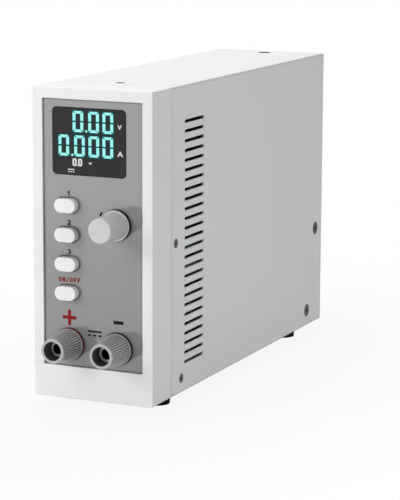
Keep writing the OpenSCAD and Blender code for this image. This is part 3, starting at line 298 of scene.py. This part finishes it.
def turned_metal(name, node, colour, rough, metallic, gloss=0.5, bore_shade_r=None, dark=None, groove_shade=None,
                 side=None):
    """Lathe-turned metal: fine rings about a node's axis along Y, handling marks and worn edges.

    dark is painted shade inside the radius bore_shade_r, groove painted shade in narrow grooves, and side
    painted shade on faces that turn away from the front.
    """
    s = Shader(name)
    radius, along = s.axis_radius(centre(node))
    rings = s.node("ShaderNodeCombineXYZ", {0: radius, 1: along}).outputs[0]
    lines = s.noise(TURNED_RING, place=rings)
    cloud = s.noise(TURNED_CLOUD, detail=3.0)
    normal, mask = s.edges(METAL_EDGE)
    stain, stain_shade = s.ramp(cloud, low=0.0, high=0.15), 0.8
    worn, worn_shade = s.math("MULTIPLY", mask, METAL_WEAR), 1.15
    body = s.vary(lines, colour, low=0.96, high=1.04)
    body = s.blend(stain, body, scaled(colour, stain_shade))
    body = s.blend(worn, body, scaled(colour, worn_shade))
    # Painted shade on faces that turn away from the front
    if side:
        share = s.math("MULTIPLY", s.facing(Y, *SIDE_LEAN), s.ramp(lines, low=0.9, high=1.0))
        body = s.blend(share, body, side)
    # Painted shade in narrow grooves
    if groove_shade:
        body = s.blend(s.corners(GROOVE_REACH, GROOVE_OPEN, own=True), body, groove_shade)
    # Painted shade inside a mouth or bore
    if bore_shade_r:
        body = s.blend(s.span(radius, bore_shade_r, bore_shade_r + BORE_RIM, 1.0, 0.0), body, dark)
    return metal(s, body, rough, metallic, gloss, cloud, lines, normal)


def rolled_metal(name, colour, rough, metallic=1.0, gloss=0.5, upper_shade=None):
    """Rolled, drawn or plated metal with a lengthwise grain, and painted shade on faces that look up."""
    s = Shader(name)
    lines = s.noise(ROLLED_GRAIN, stretch=ROLLED_STRETCH)
    cloud = s.noise(ROLLED_CLOUD, detail=3.0)
    normal, mask = s.edges(METAL_EDGE)
    worn, worn_shade = s.math("MULTIPLY", mask, METAL_WEAR), 1.2
    body = s.vary(cloud, colour, low=0.9, high=1.06)
    body = s.blend(worn, body, scaled(colour, worn_shade))
    # Painted shade on faces that look up
    if upper_shade:
        body = s.blend(s.facing(Z, *TOP_LEAN), body, upper_shade)
    return metal(s, body, rough, metallic, gloss, cloud, lines, normal)


def ink(name, colour):
    """Screen-printed ink, a little uneven in colour and gloss."""
    blotch, grain = 0.5 * MM, 0.3 * MM
    s = Shader(name)
    s.set(Base_Color=s.vary(s.noise(blotch), colour, low=0.88, high=1.12), Specular_IOR_Level=0.2)
    s.set(Roughness=s.ramp(s.noise(grain), low=0.54, high=0.66))
    return s.mat


def glow(name, colour, bright):
    """Lit display segment with lighter patches."""
    patch, grain = 1.3 * MM, 2 * MM
    s = Shader(name)
    light = s.blend(s.ramp(s.noise(patch), 0.0, 1.0), colour, bright)
    s.set(Base_Color=(0.0, 0.0, 0.0), Emission_Color=light, Emission_Strength=1.0)
    s.set(Roughness=s.ramp(s.noise(grain), low=0.4, high=0.6), Specular_IOR_Level=0.0)
    return s.mat


# Painted, moulded and rubber surfaces by slot
FRAME_WHITE = srgb(243, 243, 242)
COVER_WHITE = srgb(240, 240, 239)
COATS = {
    # Frame and cover: painted shade along the long bends of the case
    "frame_white": dict(colour=FRAME_WHITE, rough=0.5, grain=0.5, depth=0.006, tint=0.008, worn=1.03,
                        wear=0.2, gloss=0.3, bend=scaled(FRAME_WHITE, 0.75)),
    "cover_white": dict(colour=COVER_WHITE, rough=0.5, grain=0.7, depth=0.010, tint=0.008, edge=0.6,
                        worn=0.75, wear=0.9, gloss=0.3, bend=scaled(COVER_WHITE, 0.62)),
    # Panel: painted shade in narrow corners, and painted light and shade that darken it towards the bottom
    "panel_grey": dict(colour=srgb(162, 162, 163), rough=0.65, grain=0.3, depth=0.006, tint=0.015,
                       gloss=0.25, crease_shade=srgb(88, 88, 89), shade_fade=(66, 88, 0.92, 1.03)),
    "window_dark": dict(colour=srgb(20, 20, 21), rough=0.2, grain=4, depth=0.002, tint=0.1, spread=0.04,
                        worn=0.3, gloss=0.4),
    # Buttons: painted shade on their sides
    "button_white": dict(colour=srgb(244, 244, 244), rough=0.45, grain=0.5, depth=0.004, tint=0.006,
                         worn=1.02, wear=0.1, gloss=0.3, side=srgb(212, 212, 212)),
    "ring_red": dict(colour=srgb(112, 28, 32), rough=0.45, grain=0.4, depth=0.004, tint=0.06, gloss=0.3),
    "ring_black": dict(colour=srgb(14, 14, 15), rough=0.5, grain=0.4, depth=0.004, tint=0.1, gloss=0.2),
    "rocker_black": dict(colour=srgb(24, 24, 25), rough=0.3, grain=0.5, depth=0.004, tint=0.1, gloss=0.4),
    "foot_rubber": dict(colour=srgb(18, 18, 18), rough=0.85, grain=0.4, depth=0.02, tint=0.15, gloss=0.08),
    "black_plastic": dict(colour=srgb(34, 34, 35), rough=0.5, grain=0.35, tint=0.12, gloss=0.35),
    "sheet_grey": dict(colour=srgb(190, 190, 190), rough=0.5, depth=0.010),
    "board_green": dict(colour=srgb(40, 95, 60), rough=0.4, grain=0.8, tint=0.12),
    "block_green": dict(colour=srgb(40, 120, 75), rough=0.45, tint=0.08),
    "can_blue": dict(colour=srgb(36, 38, 60), rough=0.35, tint=0.1),
    "core_dark": dict(colour=srgb(70, 66, 62), rough=0.6, grain=0.5, tint=0.12),
    "ribbon_grey": dict(colour=srgb(150, 152, 156), rough=0.5, tint=0.05),
    "lead_red": dict(colour=srgb(160, 30, 30), rough=0.5, tint=0.08),
    "lead_black": dict(colour=srgb(26, 26, 26), rough=0.5, tint=0.1),
    "lead_brown": dict(colour=srgb(90, 52, 34), rough=0.5, tint=0.1),
}
# Rolled, drawn and plated metal by slot
ROLLED = {
    "screw_steel": dict(colour=srgb(190, 190, 192), rough=0.34),
    # Dark screws: painted shade, nearly black, on the faces that look up
    "screw_dark": dict(colour=srgb(116, 116, 117), rough=0.6, metallic=0.0, gloss=0.05,
                       upper_shade=srgb(16, 16, 17)),
    "brass": dict(colour=srgb(212, 180, 110), rough=0.3),
    "copper": dict(colour=srgb(190, 130, 92), rough=0.35),
    "sink_metal": dict(colour=srgb(190, 190, 192), rough=0.4),
    "guard_chrome": dict(colour=srgb(225, 225, 228), rough=0.16),
}
BY_SLOT = {name: finish_coat(name, **values) for name, values in COATS.items()}
BY_SLOT.update({name: rolled_metal(name, **values) for name, values in ROLLED.items()})

# Turned pieces, each with rings about its own axis
BY_NODE = {}
# Knob: painted shade on its sides
BY_NODE["knob"] = turned_metal("knob_metal", "knob", srgb(214, 214, 214), rough=0.55, metallic=0.2,
                               gloss=0.3, side=srgb(192, 192, 192))
for pole in ("pos", "neg"):
    cap, stud = "post_cap_" + pole, "post_stud_" + pole
    # Caps: painted shade in the grooves between ribs and inside the mouth
    BY_NODE[cap] = turned_metal(cap, cap, srgb(188, 188, 187), rough=0.5, metallic=0.2, bore_shade_r=CAP_SHADE_R,
                                dark=srgb(82, 82, 82), groove_shade=srgb(90, 90, 90))
    # Studs: painted shade, nearly black, inside the socket
    BY_NODE[stud] = turned_metal(stud, stud, srgb(228, 227, 225), rough=0.4, metallic=0.3,
                                 bore_shade_r=STUD_SHADE_R, dark=srgb(6, 6, 6))

SLOTS = {entry["node"]: entry["material_slot"] for entry in RECORD["subparts"]}
for name, obj in NODES.items():
    obj.data.materials.clear()
    obj.data.materials.append(BY_NODE.get(name) or BY_SLOT[SLOTS[name]])


# Strokes of printed marks in a cell of 1 by 1: a bar's two ends, or an arc's centre, radii and angles
GLYPHS = {
    "1": [("bar", 0.55, 0.0, 0.55, 1.0), ("bar", 0.2, 0.74, 0.5, 0.97)],
    "2": [("arc", 0.5, 0.7, 0.45, 0.3, 165, -40), ("bar", 0.84, 0.5, 0.05, 0.0),
          ("bar", 0.0, 0.0, 1.0, 0.0)],
    "3": [("arc", 0.45, 0.76, 0.45, 0.24, 150, -90), ("arc", 0.45, 0.26, 0.5, 0.26, 90, -150)],
    "O": [("arc", 0.5, 0.5, 0.5, 0.5, 0, 360)],
    "I": [("bar", 0.5, 0.0, 0.5, 1.0)],
    "N": [("bar", 0.0, 0.0, 0.0, 1.0), ("bar", 1.0, 0.0, 1.0, 1.0), ("bar", 0.0, 1.0, 1.0, 0.0)],
    "F": [("bar", 0.0, 0.0, 0.0, 1.0), ("bar", 0.0, 1.0, 0.95, 1.0), ("bar", 0.0, 0.5, 0.8, 0.5)],
    "/": [("bar", 0.15, -0.05, 0.85, 1.05)],
    "V": [("bar", 0.0, 1.0, 0.5, 0.0), ("bar", 0.5, 0.0, 1.0, 1.0)],
    "A": [("bar", 0.0, 0.0, 0.5, 1.0), ("bar", 0.5, 1.0, 1.0, 0.0), ("bar", 0.25, 0.33, 0.75, 0.33)],
    "W": [("bar", 0.0, 1.0, 0.25, 0.0), ("bar", 0.25, 0.0, 0.5, 1.0),
          ("bar", 0.5, 1.0, 0.75, 0.0), ("bar", 0.75, 0.0, 1.0, 1.0)],
}

# Seven-segment figures in mm: size, widths of upright and level strokes, half the gap at the waist, gap
# where strokes meet, and cut of the outer corners
Figure = namedtuple("Figure", "wide tall upright level waist seam corner")
LARGE = Figure(wide=4.85, tall=8.65, upright=1.32, level=1.12, waist=0.3, seam=0.02, corner=0.42)
SMALL = Figure(wide=1.8, tall=3.1, upright=0.64, level=0.56, waist=0.03, seam=0.02, corner=0.2)


class Print:
    """Collects flat marks in millimetres on a surface. place(across, up, out) gives a point in metres."""

    def __init__(self, place):
        self.place = place
        self.strokes = 0
        self.verts, self.faces = [], []

    def outline(self, points):
        """Thin plate with a convex outline, anticlockwise as the viewer sees it."""
        base, n = len(self.verts), len(points)
        under = INK_GAP + self.strokes % INK_LAYERS * INK_STEP
        for out in (under + INK_T, under):
            self.verts += [self.place(x, z, out) for x, z in points]
        self.faces.append([base + i for i in range(n)])
        self.faces.append([base + n + i for i in reversed(range(n))])
        for i in range(n):
            j = (i + 1) % n
            self.faces.append([base + i, base + n + i, base + n + j, base + j])

    def rectangle(self, left, low, right, top):
        self.outline([(left, low), (right, low), (right, top), (left, top)])

    def disc(self, x, z, r):
        turns = [2 * math.pi * i / ARC_STEPS for i in range(ARC_STEPS)]
        self.outline([(x + r * math.cos(t), z + r * math.sin(t)) for t in turns])

    def bar(self, x0, z0, x1, z1, width):
        """Straight stroke that ends half its width beyond its two points."""
        self.strokes += 1
        along = Vector((x1 - x0, z1 - z0)).normalized() * width / 2
        across = Vector((-along.y, along.x))
        start, end = Vector((x0, z0)) - along, Vector((x1, z1)) + along
        self.outline([tuple(p) for p in (start - across, end - across, end + across, start + across)])

    def arc(self, x, z, rx, rz, start, end, width):
        """Curved stroke on an ellipse, angles in degrees."""
        self.strokes += 1
        low, high = sorted((math.radians(start), math.radians(end)))
        turns = [low + (high - low) * i / ARC_STEPS for i in range(ARC_STEPS + 1)]
        half = width / 2
        inner = [(x + (rx - half) * math.cos(t), z + (rz - half) * math.sin(t)) for t in turns]
        outer = [(x + (rx + half) * math.cos(t), z + (rz + half) * math.sin(t)) for t in turns]
        for i in range(ARC_STEPS):
            self.outline([inner[i], outer[i], outer[i + 1], inner[i + 1]])

    def write(self, text, left, foot, wide, tall, stroke):
        """Plain stroked figures or letters from a left edge, each of that size over its strokes."""
        across, up = wide - stroke, tall - stroke
        for mark in text:
            x, z = left + stroke / 2, foot + stroke / 2
            for kind, a, b, c, d, *angles in GLYPHS[mark]:
                if kind == "bar":
                    self.bar(x + a * across, z + b * up, x + c * across, z + d * up, stroke)
                else:
                    self.arc(x + a * across, z + b * up, c * across, d * up, *angles, stroke)
            left += wide + stroke * LETTER_SPACE

    def zero(self, left, foot, figure):
        """Lit 0 of a seven-segment figure: two level strokes and four upright ones."""
        half_w, half_h = figure.wide / 2, figure.tall / 2
        mid_x, mid_z = left + half_w, foot + half_h
        inner_x, inner_z = half_w - figure.upright, half_h - figure.level
        cut_x, cut_z = half_w - figure.corner, half_h - figure.corner
        bar_x = inner_x - figure.seam
        level = [(cut_x, half_h), (-cut_x, half_h), (-bar_x, inner_z), (bar_x, inner_z)]
        upright = [(half_w, figure.waist), (half_w, cut_z), (inner_x, inner_z - figure.seam),
                   (inner_x, figure.waist)]
        for flip_z in (1, -1):
            for flip_x, segment in ((1, level), (1, upright), (-1, upright)):
                points = [(mid_x + flip_x * x, mid_z + flip_z * z) for x, z in segment]
                self.outline(points if flip_x == flip_z else points[::-1])

    def glow_frame(self, left, foot, figure, grow):
        """Painted glow: a glowing frame round the strokes of a lit 0, a little wider than they are."""
        right, top = left + figure.wide + grow, foot + figure.tall + grow
        left, low = left - grow, foot - grow
        upright, level = figure.upright + 2 * grow, figure.level + 2 * grow
        self.rectangle(left, low, left + upright, top)
        self.rectangle(right - upright, low, right, top)
        self.rectangle(left + upright, low, right - upright, low + level)
        self.rectangle(left + upright, top - level, right - upright, top)

    def direct_current(self, left, foot, length, stroke, step):
        """Sign for direct current: a line over dashes."""
        half = stroke / 2
        self.bar(left + half, foot + step, left + length - half, foot + step, stroke)
        dash = length * DASH_SHARE
        for k in range(DASHES):
            start = left + k * (length - dash) / (DASHES - 1)
            self.bar(start + half, foot, start + dash - half, foot, stroke)

    def piece(self, name, material, body, slot):
        """New mesh piece that rides on a body."""
        mesh = bpy.data.meshes.new(name)
        mesh.from_pydata(self.verts, [], self.faces)
        mesh.validate()
        mesh.materials.append(material)
        obj = bpy.data.objects.new(name, mesh)
        bpy.context.scene.collection.objects.link(obj)
        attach(obj, body)


def on_front(plane_y, left=0.0, low=CASE_Z):
    """Places marks on a plane that faces the front, in mm to the right of and above a point of it."""
    return lambda x, z, out: (left + x * MM, plane_y - out, low + z * MM)


def seen_place(node):
    """Middle of a node from the front, in mm from the centre line and the underside of the case."""
    middle = centre(node)
    return middle.x / MM, (middle.z - CASE_Z) / MM


def display():
    """Lit figures and unit letters, in mm from the lower left corner of the display window."""
    cyan = glow("segment_cyan", srgb(140, 244, 238), srgb(186, 255, 250))
    # Painted glow that spills round the lit figures
    teal = glow("segment_painted_glow", srgb(12, 62, 68), srgb(18, 78, 84))
    white = glow("segment_white", srgb(232, 236, 236), srgb(244, 246, 246))
    grey = glow("unit_white", srgb(214, 216, 216), srgb(228, 230, 230))
    on_window = on_front(WINDOW_LO.y, WINDOW_LO.x, WINDOW_LO.z)
    over_glow = on_front(WINDOW_LO.y - INK_GAP, WINDOW_LO.x, WINDOW_LO.z)

    # Two rows of large figures with painted glow round them: foot, left edges and decimal point
    glow_width, point_r = 0.42, 0.5
    rows = ((17.8, (9.35, 16.5, 22.95), (15.55, 18.3)),
            (7.78, (2.8, 10.0, 16.55, 22.9), (9.1, 8.3)))
    glow_frames, figures = Print(on_window), Print(over_glow)
    for foot, lefts, point in rows:
        for left in lefts:
            glow_frames.glow_frame(left, foot, LARGE, glow_width)
            figures.zero(left, foot, LARGE)
        figures.disc(*point, point_r)
    glow_frames.piece("display_painted_glow", teal, "chassis", "window_dark")
    figures.piece("display_digits", cyan, "chassis", "window_dark")

    # Small figures of the power
    small_foot, small_lefts, small_point, small_point_r = 3.8, (9.2, 11.75), (11.38, 3.95), 0.26
    power = Print(on_window)
    for left in small_lefts:
        power.zero(left, small_foot, SMALL)
    power.disc(*small_point, small_point_r)
    power.piece("display_power_digits", white, "chassis", "window_dark")

    units = Print(on_window)
    units.write("V", left=29.8, foot=19.9, wide=1.75, tall=1.8, stroke=0.44)
    units.write("A", left=29.7, foot=8.7, wide=2.45, tall=2.2, stroke=0.48)
    units.write("W", left=16.65, foot=4.75, wide=1.4, tall=0.9, stroke=0.26)
    units.direct_current(left=7.1, foot=1.3, length=2.9, stroke=0.42, step=0.95)
    units.piece("display_units", grey, "chassis", "window_dark")


def panel_marks():
    """Printed signs and figures on the front panel, each placed from the control that it belongs to."""
    # Places in mm from the middle of the control, with half the length of the bars of plus and minus
    number_left, number_up = -0.4, 3.875
    word_left, word_up = -4.65, 4.275
    tick_left, tick_low, tick_right, tick_top = -7.5, 3.575, -7.05, 4.525
    current_left, current_up = -2.6, 4.65
    minus_aside, minus_up, minus_half = 0.4, 11.05, 1.6
    plus_up, plus_half_w, plus_half_h = 11.25, 2.5, 2.55
    sign_stroke, tick_stroke = 1.4, 0.85

    knob_x, knob_z = seen_place("knob")
    pos_x, pos_z = seen_place("post_cap_pos")
    neg_x, neg_z = seen_place("post_cap_neg")
    dark = Print(on_front(PANEL_Y))
    for number in "123":
        x, z = seen_place("button_" + number)
        dark.write(number, left=x + number_left, foot=z + number_up, wide=1.65, tall=2.1, stroke=0.52)
    x, z = neg_x + minus_aside, neg_z + minus_up
    dark.bar(x - minus_half, z, x + minus_half, z, sign_stroke)
    dark.bar(knob_x + tick_left, knob_z + tick_low, knob_x + tick_right, knob_z + tick_top, tick_stroke)
    x, z = (pos_x + neg_x) / 2, (pos_z + neg_z) / 2
    dark.direct_current(left=x + current_left, foot=z + current_up, length=6.4, stroke=0.7, step=1.65)
    dark.piece("panel_marks_black", ink("ink_black", srgb(20, 20, 21)), "chassis", "panel_grey")

    warm = Print(on_front(PANEL_Y))
    x, z = seen_place("button_4")
    warm.write("ON/OFF", left=x + word_left, foot=z + word_up, wide=1.35, tall=2.05, stroke=0.46)
    x, z = pos_x, pos_z + plus_up
    warm.bar(x - plus_half_w, z, x + plus_half_w, z, sign_stroke)
    warm.bar(x, z - plus_half_h, x, z + plus_half_h, sign_stroke)
    warm.piece("panel_marks_red", ink("ink_red", srgb(140, 26, 30)), "chassis", "panel_grey")


def rocker_marks():
    """On and off signs on the two sloping faces of the power switch's rocker."""
    joint = JOINTS["power_rock"]
    pivot = Vector(joint["pos_m"])
    turn = Matrix.Rotation(math.radians(joint["range_deg"][1] / 2), 4, "Z")
    # Face of the rocker in mm: distance of its middle from the pivot, and slope towards both ends
    dip, slope = 1.616, 0.12
    # Signs in mm: distance of both from the middle, height and stroke
    aside, tall, stroke = 5.084, 3.0, 0.6

    def on_rocker(x, z, out):
        local = Vector((-x * MM, (dip + slope * abs(x)) * MM + out, z * MM))
        return tuple(pivot + turn @ local)

    marks = Print(on_rocker)
    for sign, middle, wide in (("I", -aside, 1.0), ("O", aside, 2.6)):
        marks.write(sign, middle - wide / 2, -tall / 2, wide, tall, stroke)
    marks.piece("rocker_marks", ink("ink_white", srgb(225, 225, 225)), "rocker", "rocker_black")


def camera():
    """Camera at the photograph's view."""
    azimuth, elevation, roll = (math.radians(a) for a in (VIEW_AZIMUTH, VIEW_ELEVATION, VIEW_ROLL))
    level = Vector((math.sin(azimuth), -math.cos(azimuth), 0.0)) * math.cos(elevation)
    back = level + Vector((0.0, 0.0, math.sin(elevation)))
    flat_right = Vector((math.cos(azimuth), math.sin(azimuth), 0.0))
    flat_up = back.cross(flat_right)
    right = flat_right * math.cos(roll) + flat_up * math.sin(roll)
    up = flat_up * math.cos(roll) - flat_right * math.sin(roll)
    data = bpy.data.cameras.new("camera")
    data.sensor_width = 36.0
    data.lens = VIEW_FOCAL * data.sensor_width / VIEW_HEIGHT
    data.clip_start, data.clip_end = 0.01, 50.0
    obj = bpy.data.objects.new("camera", data)
    bpy.context.scene.collection.objects.link(obj)
    obj.matrix_world = Matrix((right, up, back)).transposed().to_4x4()
    obj.location = CASE_MID + right * VIEW_ASIDE + up * VIEW_UP + back * VIEW_AWAY
    bpy.context.scene.camera = obj


def seen_or_reflected(tree):
    """1 for rays that show a surface directly, in gloss or through glass."""
    rays = tree.nodes.new("ShaderNodeLightPath")
    share = rays.outputs["Is Camera Ray"]
    for kind in ("Is Glossy Ray", "Is Transmission Ray"):
        joined = tree.nodes.new("ShaderNodeMath")
        joined.operation = "MAXIMUM"
        tree.links.new(share, joined.inputs[0])
        tree.links.new(rays.outputs[kind], joined.inputs[1])
        share = joined.outputs[0]
    return share


def white_world():
    """World that looks white and gives no light, which is left to the lamps."""
    world = bpy.data.worlds.new("studio")
    bpy.context.scene.world = world
    world.use_nodes = True
    tree = world.node_tree
    background = tree.nodes["Background"]
    background.inputs["Color"].default_value = (1.0, 1.0, 1.0, 1.0)
    tree.links.new(seen_or_reflected(tree), background.inputs["Strength"])


def floor():
    """Pale floor that shows the object's shadow near it and white further off."""
    s = Shader("floor_pale")
    s.set(Base_Color=(0.7, 0.7, 0.7), Roughness=0.9)
    half_x, half_y = SHADOW_PATCH
    squeeze = s.node("ShaderNodeMapping", {"Vector": s.place, "Scale": (1 / half_x, 1 / half_y, 0.0)})
    away = s.vector("LENGTH", squeeze.outputs[0])
    share = s.math("MULTIPLY", seen_or_reflected(s.tree), s.span(away, *SHADOW_FADE, SHADOW_WHITE, 1.0))
    white = s.node("ShaderNodeEmission", {"Color": (1.0, 1.0, 1.0), "Strength": 1.0})
    mix = s.node("ShaderNodeMixShader", {0: share, 1: s.bsdf.outputs[0], 2: white.outputs[0]})
    s.tree.links.new(mix.outputs[0], s.tree.nodes["Material Output"].inputs["Surface"])
    mesh = bpy.data.meshes.new("floor")
    corners = [(x * FLOOR_REACH, y * FLOOR_REACH, 0) for x, y in ((-1, -1), (1, -1), (1, 1), (-1, 1))]
    mesh.from_pydata(corners, [], [(0, 1, 2, 3)])
    mesh.materials.append(s.mat)
    obj = bpy.data.objects.new("floor", mesh)
    bpy.context.scene.collection.objects.link(obj)
    obj.visible_shadow = False


def lamp(name, aim, azimuth, elevation, distance, size, power):
    """Round soft lamp that shines on a point. The azimuth is counted from the front to the right."""
    turn, rise = math.radians(azimuth), math.radians(elevation)
    way = Vector((math.sin(turn) * math.cos(rise), -math.cos(turn) * math.cos(rise), math.sin(rise)))
    data = bpy.data.lights.new(name, "AREA")
    data.shape = "DISK"
    data.size = size
    data.energy = power
    obj = bpy.data.objects.new(name, data)
    bpy.context.scene.collection.objects.link(obj)
    obj.location = aim + way * distance
    obj.rotation_euler = way.to_track_quat("Z", "Y").to_euler()
    obj.visible_glossy = False


def lamps():
    """Soft lamps, placed by the shadows and levels of the photograph."""
    front = Vector((0.0, FRONT_Y, LAMP_AIM_Z))
    lamp("key", front, azimuth=-25.5, elevation=-11, distance=2.0, size=0.13, power=12.6)
    lamp("left_near", front, azimuth=-41.6, elevation=29, distance=0.55, size=0.40, power=1.16)
    lamp("left", front, azimuth=-60, elevation=15, distance=1.2, size=0.8, power=1.42)
    lamp("right", front, azimuth=75, elevation=15, distance=1.2, size=0.9, power=4.16)
    lamp("top", CASE_MID, azimuth=-131, elevation=87, distance=1.08, size=0.9, power=8.7)
    lamp("rear", CASE_MID, azimuth=190, elevation=12, distance=1.4, size=0.9, power=4.0)


display()
panel_marks()
rocker_marks()
camera()
white_world()
floor()
lamps()
bpy.context.scene.view_settings.view_transform = "Standard"
